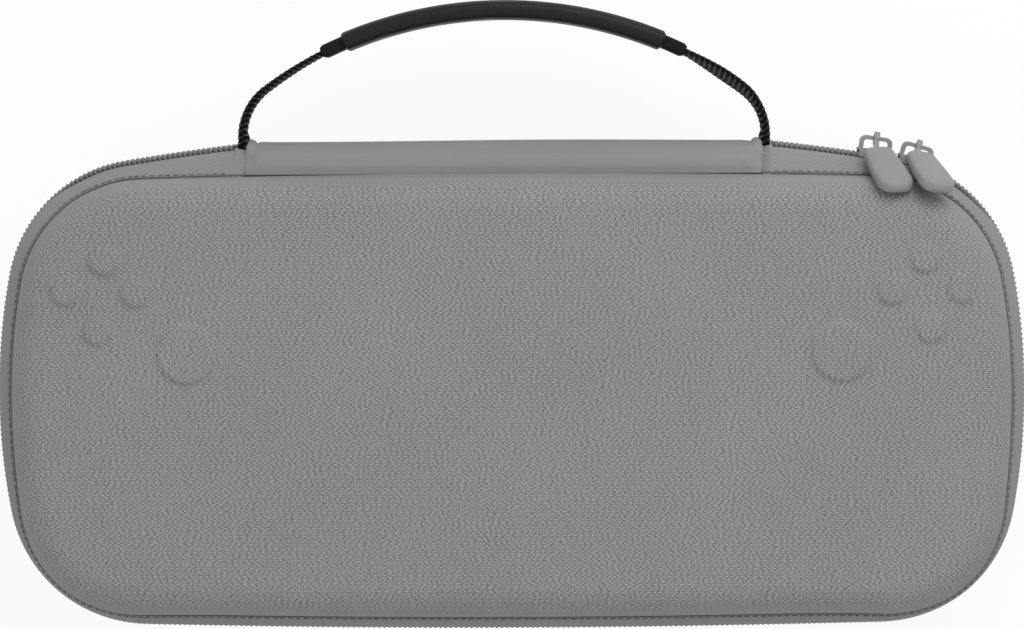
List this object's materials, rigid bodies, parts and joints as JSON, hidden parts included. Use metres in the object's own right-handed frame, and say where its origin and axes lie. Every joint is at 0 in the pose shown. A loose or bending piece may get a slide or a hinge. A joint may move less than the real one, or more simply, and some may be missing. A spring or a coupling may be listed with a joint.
{
  "type": "portable game console case",
  "caption": "Zippered hard carry case for a portable game console: moulded fabric shells, rolled spine hinge, webbing handle with padded grip, zip sliders with soft pulls.",
  "frame": {"origin": "middle of the back shell's flat face, on which the case lies", "axes": "+X along the case to the end with the zip sliders, +Y towards the handle, +Z from the back shell to the lid"},
  "size_m": [0.3, 0.1837, 0.0646],
  "materials": {
    "shell_fabric": "matte",
    "zip_tape": "matte",
    "zip_coil": "satin",
    "spine_fabric": "matte",
    "binding": "matte",
    "webbing": "matte",
    "grip_sleeve": "matte",
    "grip": "satin",
    "slider_metal": "satin",
    "pull_rubber": "satin",
    "tray_foam": "matte",
    "hold_strap": "matte",
    "hook_and_loop": "matte",
    "mesh": "matte",
    "hem_elastic": "matte"
  },
  "bodies": {
    "base": {"back_shell": "shell_fabric", "back_zip_tape": "zip_tape", "back_zip_coil": "zip_coil", "back_rim_binding": "binding", "spine_panel": "spine_fabric", "handle_root_bars": "webbing", "console_tray": "tray_foam", "hold_strap_lower": "hold_strap", "hold_strap_upper": "hold_strap", "loop_pad": "hook_and_loop", "hook_pad": "hook_and_loop"},
    "lid": {"front_shell": "shell_fabric", "front_zip_tape": "zip_tape", "front_zip_coil": "zip_coil", "front_rim_binding": "binding", "pocket_mesh": "mesh", "pocket_hem": "hem_elastic"},
    "handle": {"handle_webbing": "webbing", "grip_core": "grip_sleeve", "handle_grip": "grip"},
    "slider_a": {"slider_1": "slider_metal"},
    "slider_b": {"slider_2": "slider_metal"},
    "pull_a": {"pull_link_1": "slider_metal", "pull_tab_1": "pull_rubber"},
    "pull_b": {"pull_link_2": "slider_metal", "pull_tab_2": "pull_rubber"}
  },
  "joints": [
    {"name": "lid_hinge", "type": "hinge", "parent": "base", "child": "lid", "pos_m": [-0.0018, 0.073, 0.04], "axis": [-1, 0, 0], "range_deg": [0, 95], "deforming": ["spine_panel", "back_zip_tape", "back_zip_coil"]},
    {"name": "handle_swing", "type": "hinge", "parent": "base", "child": "handle", "pos_m": [-0.0018, 0.073, 0.04], "axis": [-1, 0, 0], "range_deg": [-80, 80]},
    {"name": "slider_1_slide", "type": "hinge", "parent": "lid", "child": "slider_a", "pos_m": [0, -0.6124, 0.04], "axis": [0, 0, 1], "range_deg": [0, 1.5]},
    {"name": "slider_2_slide", "type": "hinge", "parent": "lid", "child": "slider_b", "pos_m": [0.10588, 0.0274, 0.04], "axis": [0, 0, -1], "range_deg": [0, 50]},
    {"name": "pull_1_swing", "type": "hinge", "parent": "slider_a", "child": "pull_a", "pos_m": [0.1067, 0.07365, 0.04], "axis": [0.9881, -0.1537, 0], "range_deg": [-215, 0]},
    {"name": "pull_2_swing", "type": "hinge", "parent": "slider_b", "child": "pull_b", "pos_m": [0.11894, 0.0713, 0.04], "axis": [0.9584, -0.2853, 0], "range_deg": [-215, 0]}
  ]
}
